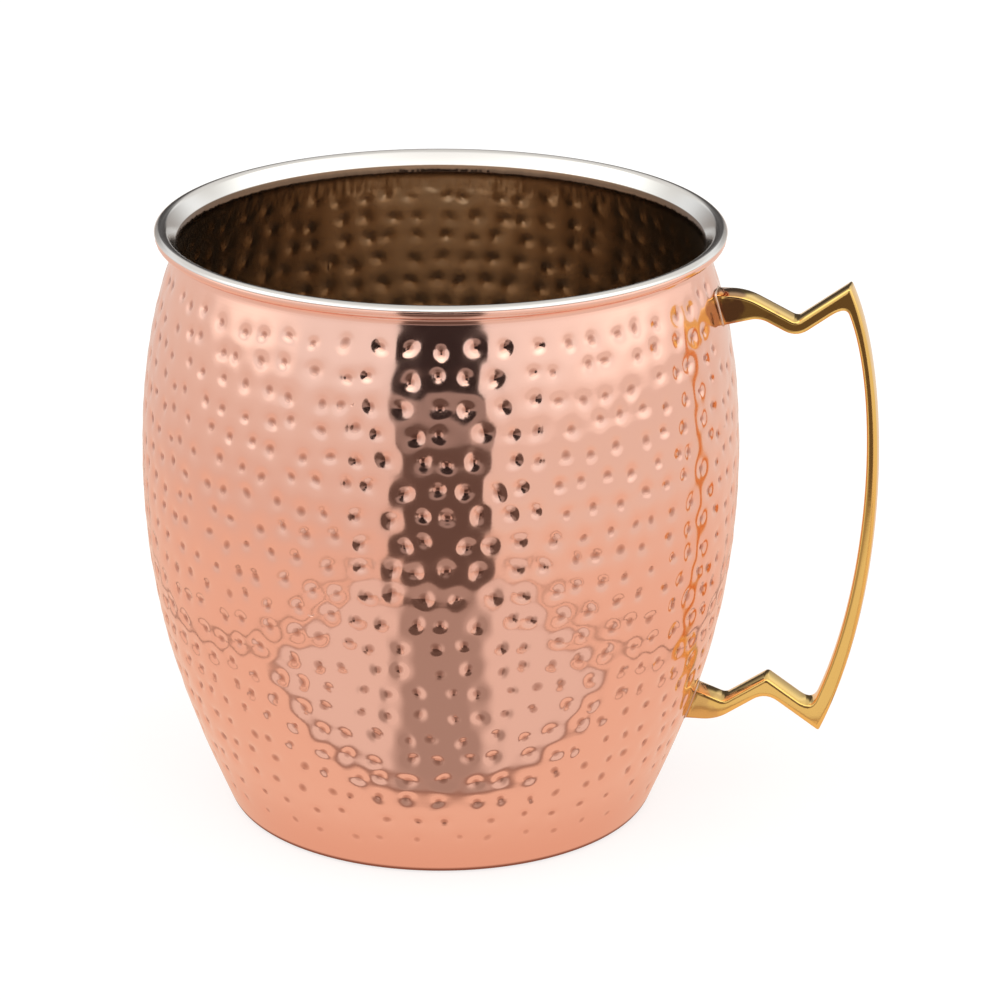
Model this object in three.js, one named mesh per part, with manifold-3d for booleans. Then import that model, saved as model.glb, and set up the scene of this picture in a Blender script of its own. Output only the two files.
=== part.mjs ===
// Jumbo hammered copper mug: a copper barrel with a rolled lip, a steel lining folded over that
// lip, and a cast brass strap handle silver-soldered to the barrel by its two feet.
// Millimetres, +Z up. The origin is the centre of the flat underside; the handle points along +X.
import * as THREE from 'three';
import { mergeVertices } from 'three/addons/utils/BufferGeometryUtils.js';
import Module from 'manifold-3d';

const wasm = await Module();
wasm.setup();

// ---- barrel -------------------------------------------------------------------------------
const HEIGHT = 167.5;            // table to the crest of the lip
const BASE_EDGE = 2.6;           // run of the rounded edge between flat underside and wall
const BASE_ROUND = 2.6;          // height of that rounded edge
const WALL_FOOT_R = 60.5;        // outer radius where the wall leaves the rounded edge
const FOOT_LEAN = 0.43;          // outward run of the wall for each millimetre up, at the foot
const FOOT_REACH = 29.5;         // how far up the foot's lean carries
const BELLY_R = 83.0;            // widest outer radius
const BELLY_Z = 100.4;           // height of the widest ring
const BELLY_REACH_DOWN = 41.0;   // how far the upright tangent of the belly carries down
const BELLY_REACH_UP = 41.3;     // and up
const NECK_R = 72.8;             // narrow ring under the lip
const NECK_DROP = 5.1;           // crest to that ring
const NECK_REACH = 2.5;          // how far down the upright tangent of the neck carries
const SHELL_T = 0.8;             // copper sheet
const LINER_T = 0.45;            // steel lining
const SKIN_FIT = 0.05;           // clearance between the two skins

// ---- lip ----------------------------------------------------------------------------------
const LIP_OVERHANG = 3.6;        // neck ring to the centre circle of the roll
const LIP_TUBE_R = 2.15;         // radius of the roll with the lining on it
const CURL_END = -110;           // where the copper roll stops, in degrees from straight outward
const LINER_END = 30;            // where the folded edge of the lining stops, the same way

// ---- handle -------------------------------------------------------------------------------
const ARM_T = 4.1;               // thickness of the arms, seen from the side
const GRIP_T_TOP = 3.8;          // thickness of the grip bar at its upper end
const GRIP_T_BOTTOM = 5.2;       // and at its lower end
const STRAP_W = 8.2;             // width of the strap
const STRAP_BEVEL = 0.4;         // worn edge of the strap
const FOOT_H = 9.2;              // height of each foot where it meets the barrel
const UPPER_FOOT_DROP = 15.1;    // crest of the lip to the top of the upper foot
const LOWER_FOOT_LOW = 27.1;     // table to the bottom of the lower foot
const UPPER_FOOT_OUT = 8.1;      // barrel to the bend where the upper arm turns down
const LOWER_FOOT_OUT = 8.8;      // barrel to the bend where the lower arm turns up
const DIP_OUT = 15.0;            // widest ring to the dip of the upper arm
const DIP_DROP = 21.9;           // crest of the lip to that dip
const TOP_TIP_OUT = 29.5;        // widest ring to the upper tip of the grip
const TOP_TIP_DROP = 11.2;       // crest of the lip to that tip
const BOTTOM_TIP_OUT = 25.1;     // widest ring to the lower tip of the grip
const BOTTOM_TIP_Z = 25.8;       // table to that tip
const PEAK_OUT = 9.8;            // widest ring to the peak of the lower arm
const PEAK_Z = 36.3;             // table to that peak, on the under side
const ARCH_OUT = 4.0;            // upper bend to the crown of the arch beneath it
const SADDLE_OUT = 1.9;          // lower bend to the bottom of the saddle above it
const ROOT_DEPTH = 6.0;          // how deep a foot is cast before it is fitted to the barrel
const BOW_TOP = new THREE.Vector2(12.4, -25.0);     // pull of the grip's curve at the top tip
const BOW_BOTTOM = new THREE.Vector2(18.2, 41.5);   // and at the bottom tip
const SHARP = 1.2;               // rounding of the crisp bends
const SOFT = 4.0;                // rounding of the soft bends
const ARCH = 2.4;                // rounding of the arch under the upper foot
const WEB_TOP = 4.5;             // rounding of the upper inside corner
const WEB_BOTTOM = 4.0;          // rounding of the lower inside corner
const TIP = 1.1;                 // rounding of the two outer tips

// ---- solder -------------------------------------------------------------------------------
const SOLDER_T = 0.4;            // solder between foot and barrel
const SOLDER_LAP = 0.5;          // how far it shows round the foot
const SOLDER_FIT = 0.05;         // clearance on each face of the solder

// ---- fineness -----------------------------------------------------------------------------
const ROUND_STEPS = 48;
const WALL_STEPS = 7;
const EDGE_STEPS = 2;
const LIP_STEP = 28;             // degrees
const BEND_STEPS = 4;
const BOW_STEPS = 14;

// ---- solids -------------------------------------------------------------------------------
function welded(geometry) {
  geometry.deleteAttribute('normal');
  geometry.deleteAttribute('uv');
  const merged = mergeVertices(geometry, 1e-4);
  const source = merged.getIndex().array;
  const index = [];
  for (let i = 0; i < source.length; i += 3) {
    const [a, b, c] = [source[i], source[i + 1], source[i + 2]];
    if (a !== b && b !== c && c !== a) {
      index.push(a, b, c);
    }
  }
  merged.setIndex(index);
  return merged;
}

function toSolid(geometry) {
  return new wasm.Manifold(new wasm.Mesh({
    numProp: 3,
    vertProperties: new Float32Array(geometry.getAttribute('position').array),
    triVerts: new Uint32Array(geometry.getIndex().array),
  }));
}

function toGeometry(solid) {
  const mesh = solid.getMesh();
  const geometry = new THREE.BufferGeometry();
  geometry.setAttribute('position', new THREE.BufferAttribute(mesh.vertProperties, 3));
  geometry.setIndex(new THREE.BufferAttribute(mesh.triVerts, 1));
  return geometry;
}

// A profile of (radius, height) points, walked with the solid on its left, turned about Z.
function turned(profile) {
  const geometry = new THREE.LatheGeometry(profile, ROUND_STEPS);
  geometry.rotateX(Math.PI / 2);
  return welded(geometry);
}

// ---- profiles -----------------------------------------------------------------------------
function shifted(line, distance) {
  return line.map((point, i) => {
    const before = line[Math.max(i - 1, 0)];
    const after = line[Math.min(i + 1, line.length - 1)];
    const into = i === 0 ? after.clone().sub(point) : point.clone().sub(before);
    const out = i === line.length - 1 ? into.clone() : after.clone().sub(point);
    const sideIn = new THREE.Vector2(-into.y, into.x).normalize();
    const sideOut = new THREE.Vector2(-out.y, out.x).normalize();
    const mitre = sideIn.clone().add(sideOut).normalize();
    return point.clone().addScaledVector(mitre, distance / mitre.dot(sideIn));
  });
}

const baseFlatR = WALL_FOOT_R - BASE_EDGE;
const edgeLean = FOOT_LEAN * BASE_ROUND;
const lipRingR = NECK_R + LIP_OVERHANG;
const neckZ = HEIGHT - NECK_DROP;
const lipZ = HEIGHT - LIP_TUBE_R;
const curlInnerR = LIP_TUBE_R - LINER_T - SKIN_FIT - SHELL_T;

// Outer line of the copper, from the axis to the neck.
function barrelLine() {
  const edge = new THREE.QuadraticBezierCurve(
    new THREE.Vector2(baseFlatR, 0),
    new THREE.Vector2(WALL_FOOT_R - edgeLean, 0),
    new THREE.Vector2(WALL_FOOT_R, BASE_ROUND),
  );
  const lower = new THREE.CubicBezierCurve(
    new THREE.Vector2(WALL_FOOT_R, BASE_ROUND),
    new THREE.Vector2(WALL_FOOT_R + FOOT_LEAN * FOOT_REACH, BASE_ROUND + FOOT_REACH),
    new THREE.Vector2(BELLY_R, BELLY_Z - BELLY_REACH_DOWN),
    new THREE.Vector2(BELLY_R, BELLY_Z),
  );
  const upper = new THREE.CubicBezierCurve(
    new THREE.Vector2(BELLY_R, BELLY_Z),
    new THREE.Vector2(BELLY_R, BELLY_Z + BELLY_REACH_UP),
    new THREE.Vector2(NECK_R, neckZ - NECK_REACH),
    new THREE.Vector2(NECK_R, neckZ),
  );
  return [
    new THREE.Vector2(0, 0),
    ...edge.getPoints(EDGE_STEPS),
    ...lower.getPoints(WALL_STEPS).slice(1),
    ...upper.getPoints(WALL_STEPS).slice(1),
  ];
}

const upperFoot = { low: HEIGHT - UPPER_FOOT_DROP - FOOT_H, top: HEIGHT - UPPER_FOOT_DROP };
const lowerFoot = { low: LOWER_FOOT_LOW, top: LOWER_FOOT_LOW + FOOT_H };

// The point of the copper's outer face at a height.
function onBarrel(z) {
  const line = barrelLine();
  const i = line.findIndex((point, k) => k > 1 && point.y >= z);
  const t = (z - line[i - 1].y) / (line[i].y - line[i - 1].y);
  return line[i - 1].clone().lerp(line[i], t);
}

// The same line carried up the flare of the lip and round the roll, to the given angle.
function lippedLine(endDegrees) {
  const ring = new THREE.Vector2(lipRingR, lipZ);
  const reach = ring.clone().sub(new THREE.Vector2(NECK_R, neckZ));
  const flare = reach.angle() + Math.asin(curlInnerR / reach.length());
  const start = THREE.MathUtils.radToDeg(flare) + 90;
  const stops = [];
  for (let degrees = start; degrees > endDegrees + LIP_STEP / 4; degrees -= LIP_STEP) {
    stops.push(degrees);
  }
  const roll = [...stops, endDegrees].map((degrees) => {
    const angle = THREE.MathUtils.degToRad(degrees);
    const spoke = new THREE.Vector2(Math.cos(angle), Math.sin(angle));
    return ring.clone().addScaledVector(spoke, curlInnerR);
  });
  return [...barrelLine(), ...roll];
}

// A skin of even thickness, its outer face set in from the barrel line.
function skin(endDegrees, inset, thickness) {
  const line = lippedLine(endDegrees);
  const outer = shifted(line, inset);
  const inner = shifted(line, inset + thickness);
  return turned([...outer, ...inner.reverse()]);
}

// The barrel grown outward by a margin and filled up to the neck, to cut what sits on it.
function grownBarrel(margin) {
  const line = shifted(barrelLine(), -margin);
  line[0].x = 0;
  return toSolid(turned([...line, new THREE.Vector2(0, line[line.length - 1].y)]));
}

// ---- handle outline -----------------------------------------------------------------------
// A closed outline of [point, rounding] pairs; the rounding is a length along both edges, and
// two roundings share an edge that is too short for both.
function roundedPath(path, corners) {
  corners.forEach(([point, rounding], i) => {
    const [start, end] = [corners.length - 1, 1].map((step) => {
      const [other, otherRounding] = corners[(i + step) % corners.length];
      const along = other.clone().sub(point);
      const share = along.length() * rounding / (rounding + otherRounding || 1);
      return point.clone().add(along.setLength(Math.min(rounding, share)));
    });
    if (i === 0) {
      path.moveTo(start.x, start.y);
    } else {
      path.lineTo(start.x, start.y);
    }
    if (rounding > 0) {
      path.quadraticCurveTo(point.x, point.y, end.x, end.y);
    }
  });
}

function crossing(a, b, c, d) {
  const u = b.clone().sub(a);
  const v = d.clone().sub(c);
  const t = c.clone().sub(a).cross(v) / u.cross(v);
  return a.clone().addScaledVector(u, t);
}

function onLine(a, b, x) {
  return new THREE.Vector2(x, a.y + (b.y - a.y) * (x - a.x) / (b.x - a.x));
}

// The far side of the strap along the edge a-b, one thickness to its right.
function farEdge(a, b, thickness = ARM_T) {
  const side = new THREE.Vector2(b.y - a.y, a.x - b.x).setLength(thickness);
  return [a.clone().add(side), b.clone().add(side)];
}

function handleShape() {
  const upperFootLow = onBarrel(upperFoot.low);
  const upperFootTop = onBarrel(upperFoot.top);
  const lowerFootLow = onBarrel(lowerFoot.low);
  const lowerFootTop = onBarrel(lowerFoot.top);
  const upperRoot = Math.min(upperFootLow.x, upperFootTop.x) - ROOT_DEPTH;
  const lowerRoot = Math.min(lowerFootLow.x, lowerFootTop.x) - ROOT_DEPTH;
  const upperBend = upperFootTop.clone().add(new THREE.Vector2(UPPER_FOOT_OUT, 0));
  const lowerBend = lowerFootLow.clone().add(new THREE.Vector2(LOWER_FOOT_OUT, 0));
  const widest = Math.max(...barrelLine().map((point) => point.x));
  const dip = new THREE.Vector2(widest + DIP_OUT, HEIGHT - DIP_DROP);
  const topTip = new THREE.Vector2(widest + TOP_TIP_OUT, HEIGHT - TOP_TIP_DROP);
  const bottomTip = new THREE.Vector2(widest + BOTTOM_TIP_OUT, BOTTOM_TIP_Z);
  const peak = new THREE.Vector2(widest + PEAK_OUT, PEAK_Z);
  const bow = [
    topTip,
    topTip.clone().add(BOW_TOP),
    bottomTip.clone().add(BOW_BOTTOM),
    bottomTip,
  ];
  const upperNear = farEdge(upperBend, dip);
  const upperFar = farEdge(dip, topTip);
  const lowerFar = farEdge(bottomTip, peak);
  const lowerNear = farEdge(peak, lowerBend);
  const gripTop = farEdge(bow[0], bow[1], GRIP_T_TOP);
  const gripBottom = farEdge(bow[2], bow[3], GRIP_T_BOTTOM);
  const innerTop = crossing(...upperFar, ...gripTop);
  const innerBottom = crossing(...lowerFar, ...gripBottom);
  const dipUnder = crossing(...upperNear, ...upperFar);
  const peakOver = crossing(...lowerFar, ...lowerNear);
  const arch = onLine(...upperNear, upperBend.x + ARCH_OUT);
  const saddle = onLine(...lowerNear, lowerBend.x + SADDLE_OUT);
  const grip = new THREE.CubicBezierCurve(innerBottom, gripBottom[0], gripTop[1], innerTop);
  const inside = grip.getPoints(BOW_STEPS).slice(1, -1);
  const outside = new THREE.CubicBezierCurve(...bow).getPoints(BOW_STEPS).slice(1, -1);
  const shape = new THREE.Shape();
  roundedPath(shape, [
    [new THREE.Vector2(upperRoot, upperFoot.top), 0],
    [new THREE.Vector2(upperRoot, upperFoot.low), 0],
    [upperFootLow, 0],
    [arch, ARCH],
    [dipUnder, SOFT],
    [innerTop, WEB_TOP],
    ...inside.reverse().map((point) => [point, 0]),
    [innerBottom, WEB_BOTTOM],
    [peakOver, SHARP],
    [saddle, SHARP],
    [lowerFootTop, 0],
    [new THREE.Vector2(lowerRoot, lowerFoot.top), 0],
    [new THREE.Vector2(lowerRoot, lowerFoot.low), 0],
    [lowerBend, SOFT],
    [peak, SOFT],
    [bottomTip, TIP],
    ...outside.reverse().map((point) => [point, 0]),
    [topTip, TIP],
    [dip, SHARP],
    [upperBend, SOFT],
  ]);
  return shape;
}

// ---- pieces -------------------------------------------------------------------------------
function handleSolid() {
  const geometry = new THREE.ExtrudeGeometry(handleShape(), {
    depth: STRAP_W - 2 * STRAP_BEVEL,
    curveSegments: BEND_STEPS,
    bevelThickness: STRAP_BEVEL,
    bevelSize: STRAP_BEVEL,
    bevelOffset: -STRAP_BEVEL,
    bevelSegments: 1,
  });
  geometry.rotateX(Math.PI / 2);
  geometry.translate(0, STRAP_W / 2 - STRAP_BEVEL, 0);
  return toSolid(welded(geometry)).subtract(grownBarrel(SOLDER_T + 2 * SOLDER_FIT));
}

// A thin pad that follows the barrel, a little larger than the foot it holds.
function solderPad(foot) {
  const wall = barrelLine().slice(1);
  const far = shifted(wall, -SOLDER_FIT - SOLDER_T);
  const near = shifted(wall, -SOLDER_FIT);
  const coat = toSolid(turned([...far, ...near.reverse(), far[0]]));
  const tall = foot.top - foot.low + 2 * SOLDER_LAP;
  const block = new THREE.BoxGeometry(BELLY_R, STRAP_W + 2 * SOLDER_LAP, tall);
  block.translate(BELLY_R, 0, (foot.low + foot.top) / 2);
  return coat.intersect(toSolid(welded(block)));
}

function metal(color, roughness) {
  return new THREE.MeshStandardMaterial({ color, roughness, metalness: 1 });
}

const mug = new THREE.Group();

function place(name, geometry, material) {
  const mesh = new THREE.Mesh(geometry, material);
  mesh.name = name;
  mug.add(mesh);
}

const liningInset = SHELL_T + SKIN_FIT;
place('copper_shell', skin(CURL_END, 0, SHELL_T), metal(0xe0a184, 0.12));
place('steel_liner', skin(LINER_END, liningInset, LINER_T), metal(0xd9d7d2, 0.15));
place('handle', toGeometry(handleSolid()), metal(0xd8a548, 0.18));
place('upper_solder', toGeometry(solderPad(upperFoot)), metal(0xb9b4ab, 0.3));
place('lower_solder', toGeometry(solderPad(lowerFoot)), metal(0xb9b4ab, 0.3));

export default mug;
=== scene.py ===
"""Jumbo hammered copper mug with a steel lining rolled over the lip and a cast brass strap handle."""
import math
import random

import bmesh
import bpy
import numpy as np
from mathutils import Euler, Matrix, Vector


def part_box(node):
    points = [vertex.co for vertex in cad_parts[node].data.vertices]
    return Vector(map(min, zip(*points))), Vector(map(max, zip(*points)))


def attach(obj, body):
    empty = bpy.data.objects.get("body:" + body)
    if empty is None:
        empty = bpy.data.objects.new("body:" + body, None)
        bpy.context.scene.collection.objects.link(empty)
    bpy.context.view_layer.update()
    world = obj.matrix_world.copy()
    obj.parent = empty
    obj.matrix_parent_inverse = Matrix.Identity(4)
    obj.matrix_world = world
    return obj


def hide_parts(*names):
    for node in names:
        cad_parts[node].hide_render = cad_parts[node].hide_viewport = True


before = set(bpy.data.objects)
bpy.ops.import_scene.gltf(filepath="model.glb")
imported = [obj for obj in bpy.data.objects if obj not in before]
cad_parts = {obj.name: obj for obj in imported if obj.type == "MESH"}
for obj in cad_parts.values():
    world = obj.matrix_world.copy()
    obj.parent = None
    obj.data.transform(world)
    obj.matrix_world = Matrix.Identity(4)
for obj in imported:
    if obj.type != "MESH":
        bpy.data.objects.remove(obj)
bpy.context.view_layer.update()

MM = 0.001
_, SHELL_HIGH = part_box("copper_shell")
_, LINER_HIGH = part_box("steel_liner")

# ---- sizes of the barrel, in millimetres ----
HEIGHT = LINER_HIGH.z / MM
BELLY_R = SHELL_HIGH.x / MM
BELLY_Z = 100.4  # height of the widest ring
WALL_FOOT_R = 60.5  # where the wall leaves the rounded base edge
BASE_EDGE = 2.6  # run of that rounded edge
BASE_ROUND = 2.6  # and its height
FOOT_LEAN = 0.43  # outward run of the wall for each millimetre up, at the foot
FOOT_REACH = 29.5  # how far up that lean carries
BELLY_REACH_DOWN = 41.0  # how far the upright tangent of the belly carries down
BELLY_REACH_UP = 41.3  # and up
NECK_R = 72.8  # narrow ring under the lip
NECK_DROP = 5.1  # crest of the lip to that ring
NECK_REACH = 2.5  # how far down the upright tangent of the neck carries
NECK_FILLET = 1.3  # rounding of the neck bend
SHELL_T = 0.8  # copper sheet
LINER_T = 0.45  # steel lining
SKIN_FIT = 0.05  # clearance between the two skins
LIP_OVERHANG = 3.6  # neck ring to the centre circle of the roll
LIP_TUBE_R = 2.15  # radius of the roll with the lining on it
CURL_END = -110.0  # where the copper roll stops, in degrees from straight outward
LINER_END = 30.0  # where the folded edge of the lining stops, the same way
NECK_Z = HEIGHT - NECK_DROP
LIP_RING = np.array([NECK_R + LIP_OVERHANG, HEIGHT - LIP_TUBE_R])
CURL_R = LIP_TUBE_R - LINER_T - SKIN_FIT - SHELL_T

# ---- how finely the skins are divided ----
SHELL_COLUMNS = 480
LINER_COLUMNS = 400
HIDDEN_COLUMNS = 80
WALL_STEP = 1.16
LINER_STEP = 1.35

# ---- sizes of the hammer marks, in millimetres ----
TOP_ROW_Z = 155.2
BOTTOM_ROW_Z = 11.8
ROW_PITCH = 7.5
MARK_PITCH = 8.1
MARK_R = 3.4
MARK_DEPTH = 0.62
ROW_STRAY = 1.1  # how far a strike misses its row, in millimetres
COLUMN_STRAY = 0.22  # and its place along it, as a share of the pitch
MARK_SETS = 4  # neighbours fall in different sets, so that each set's marks stand apart
FAR_REACH = 1.5  # in mark radii: past this a point knows nothing of the strike
HOLLOW_REACH = 1.55  # the wide shallow hollow round each dish, in mark radii
HOLLOW_SHARE = 0.44  # and its share of the depth
PIT_REACH = 0.36  # the small pit in the middle of each dish, in mark radii
PIT_SHARE = 0.28  # and its depth as a share of the dish
PIT_SHADE_AND_GRIME_REACH = 0.43  # how far the painted shade and polishing grime spread from the pit, in mark radii
SHELL_PUSH = -1.0  # the copper is driven inwards
LINING_PUSH = 0.9  # and the lining stands proud, a little less
LINING_SPREAD = 1.05  # and a little wider
SHELL_WAVE = 0.00005  # slow unevenness of the beaten sheets, in metres
LINING_WAVE = 0.00004
WAVE_SCALE = 60.0
STRAY = 0.0016  # how far the round outline of a mark wanders, in metres
STRAY_SCALE = 170.0

# ---- sizes of the handle, in millimetres ----
ARM_T = 4.1
GRIP_T_TOP = 3.8
GRIP_T_BOTTOM = 5.2
STRAP_W = 8.2
FOOT_H = 9.2
CHORD_PLAY = 0.03  # drawn in, so that fine curves stay inside the coarser ones of the frame
FOOT_LOWS = (HEIGHT - 15.1 - FOOT_H, 27.1)
FOOT_BURY = 0.35  # how far each foot goes into the wall
STRAP_EDGE = 0.55  # radius of the softened edges
STRAP_CROWN = 0.22  # rise of the crowned faces
BOW_STEPS = 34


# ---- lines and curves ----
def bezier(points, steps):
    """Points along a Bezier curve of any degree."""
    points = [np.array(p, float) for p in points]
    n = len(points) - 1
    t = np.linspace(0.0, 1.0, steps + 1)[:, None]
    return sum(math.comb(n, k) * (1 - t) ** (n - k) * t ** k * p for k, p in enumerate(points))


def resampled(line, step):
    """The same line with even steps along its length."""
    line = np.array(line)
    run = np.concatenate([[0.0], np.cumsum(np.linalg.norm(np.diff(line, axis=0), axis=1))])
    count = max(2, int(round(run[-1] / step)))
    at = np.linspace(0.0, run[-1], count + 1)
    return np.stack([np.interp(at, run, line[:, 0]), np.interp(at, run, line[:, 1])], axis=1)


def shifted(line, distance):
    """The line moved sideways to its left by a distance, with mitred corners."""
    line = np.array(line)
    step = np.diff(line, axis=0)
    step /= np.linalg.norm(step, axis=1)[:, None]
    side = np.stack([-step[:, 1], step[:, 0]], axis=1)
    before = np.vstack([side[:1], side])
    after = np.vstack([side, side[-1:]])
    mitre = before + after
    mitre /= np.linalg.norm(mitre, axis=1)[:, None]
    return line + mitre * (distance / np.sum(mitre * before, axis=1))[:, None]


def wall_line(step):
    """Outer line of the copper from the top of the base edge to just under the neck bend."""
    lower = bezier([(WALL_FOOT_R, BASE_ROUND),
                    (WALL_FOOT_R + FOOT_LEAN * FOOT_REACH, BASE_ROUND + FOOT_REACH),
                    (BELLY_R, BELLY_Z - BELLY_REACH_DOWN), (BELLY_R, BELLY_Z)], 300)
    upper = bezier([(BELLY_R, BELLY_Z), (BELLY_R, BELLY_Z + BELLY_REACH_UP),
                    (NECK_R, NECK_Z - NECK_REACH), (NECK_R, NECK_Z)], 300)
    line = np.vstack([lower, upper[1:]])
    line = line[line[:, 1] <= NECK_Z - NECK_FILLET]
    return resampled(line, step)


def base_edge():
    """The rounded edge between the flat underside and the wall."""
    lean = FOOT_LEAN * BASE_ROUND
    return bezier([(WALL_FOOT_R - BASE_EDGE, 0), (WALL_FOOT_R - lean, 0), (WALL_FOOT_R, BASE_ROUND)], 8)


def roll_line(end_degrees, step):
    """The neck bend, the flare and the roll, on the outer face of the copper."""
    reach = LIP_RING - np.array([NECK_R, NECK_Z])
    far = np.linalg.norm(reach)
    flare = math.atan2(reach[1], reach[0]) + math.asin(CURL_R / far)
    start = math.degrees(flare) + 90
    count = max(2, int(round((start - end_degrees) / step)))
    angles = np.radians(np.linspace(start, end_degrees, count + 1))
    roll = LIP_RING + CURL_R * np.stack([np.cos(angles), np.sin(angles)], axis=1)
    neck = np.array([NECK_R, NECK_Z])
    along = (roll[0] - neck) / np.linalg.norm(roll[0] - neck)
    wall = wall_line(WALL_STEP)[-1]
    bend = bezier([wall, neck, neck + along * NECK_FILLET], 6)[1:]
    return np.vstack([bend, roll])


def barrel_radius(z):
    """Radius of the copper's outer face at a height."""
    line = barrel_radius.line
    return float(np.interp(z, line[:, 1], line[:, 0]))


barrel_radius.line = wall_line(0.5)


# ---- mesh code ----
def mesh_object(name, verts, faces):
    """A smooth-shaded object from corners in millimetres, its place in its mesh."""
    mesh = bpy.data.meshes.new(name)
    mesh.from_pydata((np.array(verts) * MM).tolist(), [], faces)
    mesh.validate()
    mesh.update()
    mesh.polygons.foreach_set("use_smooth", [True] * len(mesh.polygons))
    obj = bpy.data.objects.new(name, mesh)
    bpy.context.scene.collection.objects.link(obj)
    return obj


def stitch(faces, a, n, b, m):
    """Joins two rings of n and m corners, where one count divides the other."""
    if n == m:
        for i in range(n):
            j = (i + 1) % n
            faces.append((a + i, a + j, b + j, b + i))
        return
    if n > m:
        k = n // m
        for j in range(m):
            near, far = b + j, b + (j + 1) % m
            for i in range(k):
                p, q = a + j * k + i, a + (j * k + i + 1) % n
                faces.append((p, q, near if i < k // 2 else far))
            faces.append((a + j * k + k // 2, far, near))
        return
    k = m // n
    for j in range(n):
        near, far = a + j, a + (j + 1) % n
        for i in range(k):
            p, q = b + j * k + i, b + (j * k + i + 1) % m
            faces.append((q, p, near if i < k // 2 else far))
        faces.append((far, b + j * k + k // 2, near))


def turned_skin(name, rings):
    """A closed skin of (radius, height, columns, struck) rings turned about the axis of the mug."""
    verts = [(0.0, 0.0, rings[0][1])]
    struck = [0.0]
    faces = []
    starts = []
    for radius, height, columns, hit in rings:
        starts.append(len(verts))
        for i in range(columns):
            a = 2 * math.pi * i / columns
            verts.append((radius * math.cos(a), radius * math.sin(a), height))
        struck += [hit] * columns
    last = len(verts)
    verts.append((0.0, 0.0, rings[-1][1]))
    struck.append(0.0)
    first_n, last_n = rings[0][2], rings[-1][2]
    for i in range(first_n):
        faces.append((0, starts[0] + (i + 1) % first_n, starts[0] + i))
    for k in range(len(rings) - 1):
        stitch(faces, starts[k], rings[k][2], starts[k + 1], rings[k + 1][2])
    for i in range(last_n):
        faces.append((last, starts[-1] + i, starts[-1] + (i + 1) % last_n))
    obj = mesh_object(name, verts, faces)
    layer = obj.data.attributes.new("struck", "FLOAT", "POINT")
    layer.data.foreach_set("value", struck)
    return obj


def struck_weight(z):
    """How freely the sheet takes the hammer at a height: not at all in the neck and the base edge."""
    top = min(1.0, max(0.0, (NECK_Z - 1.5 - z) / 2.0))
    low = min(1.0, max(0.0, (z - BASE_ROUND - 1.0) / 3.0))
    return top * low


# ---- hammer marks ----
def strike_points(inset):
    """Where the hammer fell: staggered, uneven rows down the barrel, as points with a size and depth."""
    line = wall_line(0.5)[::-1]
    line = line[(line[:, 1] <= TOP_ROW_Z) & (line[:, 1] >= BOTTOM_ROW_Z)]
    rows = resampled(line, ROW_PITCH)
    slope = np.gradient(rows, axis=0)
    slope /= np.linalg.norm(slope, axis=1)[:, None]
    chance = random.Random(20)
    points, sizes, depths, sets = [], [], [], []
    for row, ((radius, z), along) in enumerate(zip(rows, slope)):
        left = len(rows) - 1 - row
        fade = min(1.0, 0.46 + 0.20 * left)
        pitch = MARK_PITCH + (1.6 if left < 2 else 0.0)
        count = 2 * round(math.pi * radius / pitch)
        phase = 0.5 * (row % 2) + chance.uniform(-0.12, 0.12)
        for column in range(count):
            around = (column + phase + chance.uniform(-COLUMN_STRAY, COLUMN_STRAY)) * 2 * math.pi / count
            down = chance.uniform(-ROW_STRAY, ROW_STRAY)
            size = MARK_R * chance.uniform(0.86, 1.08) * (0.72 + 0.28 * fade)
            depth = MARK_DEPTH * chance.uniform(0.75, 1.12) * fade
            at_r = radius + along[0] * down + along[1] * inset
            at_z = z + along[1] * down - along[0] * inset
            near_foot = abs(math.sin(around)) * at_r < STRAP_W / 2 + 2.2 and math.cos(around) > 0
            at_foot = any(low - 2.6 < at_z < low + FOOT_H + 2.6 for low in FOOT_LOWS)
            if near_foot and at_foot:
                continue
            points.append((at_r * math.cos(around), at_r * math.sin(around), at_z))
            sizes.append(size * MM)
            depths.append(depth * MM)
            sets.append((row % 2) * 2 + column % 2)
    obj = mesh_object("strikes", points, [])
    for name, kind, values in (("size", "FLOAT", sizes), ("depth", "FLOAT", depths), ("set", "INT", sets)):
        obj.data.attributes.new(name, kind, "POINT").data.foreach_set("value", values)
    return obj


class Tree:
    """Short words for building a node tree."""

    def __init__(self, tree):
        self.tree = tree

    def node(self, kind, inputs=(), **settings):
        made = self.tree.nodes.new(kind)
        for key, value in settings.items():
            setattr(made, key, value)
        for key, value in dict(inputs).items():
            self.put(made.inputs[key], value)
        return made

    def put(self, socket, value):
        if isinstance(value, bpy.types.NodeSocket):
            self.tree.links.new(value, socket)
        elif value is not None:
            socket.default_value = value

    def math(self, operation, a, b=None, c=None, clamp=False):
        made = self.node("ShaderNodeMath", operation=operation, use_clamp=clamp)
        for socket, value in zip(made.inputs, (a, b, c)):
            self.put(socket, value)
        return made.outputs[0]

    def vector(self, operation, a, b=None, output="Vector"):
        made = self.node("ShaderNodeVectorMath", operation=operation)
        for socket, value in zip(made.inputs, (a, b)):
            self.put(socket, value)
        return made.outputs[output]


def keep(t, geometry, name, kind, value):
    """Stores a value on the corners of a geometry under a name and hands the geometry on."""
    made = t.node("GeometryNodeStoreNamedAttribute", {"Geometry": geometry, "Name": name},
                  data_type=kind, domain="POINT")
    t.put(made.inputs["Value"], value)
    return made.outputs[0]


def named(t, name, kind="FLOAT"):
    """Reads back a value stored under a name."""
    return t.node("GeometryNodeInputNamedAttribute", {"Name": name}, data_type=kind).outputs["Attribute"]


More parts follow.
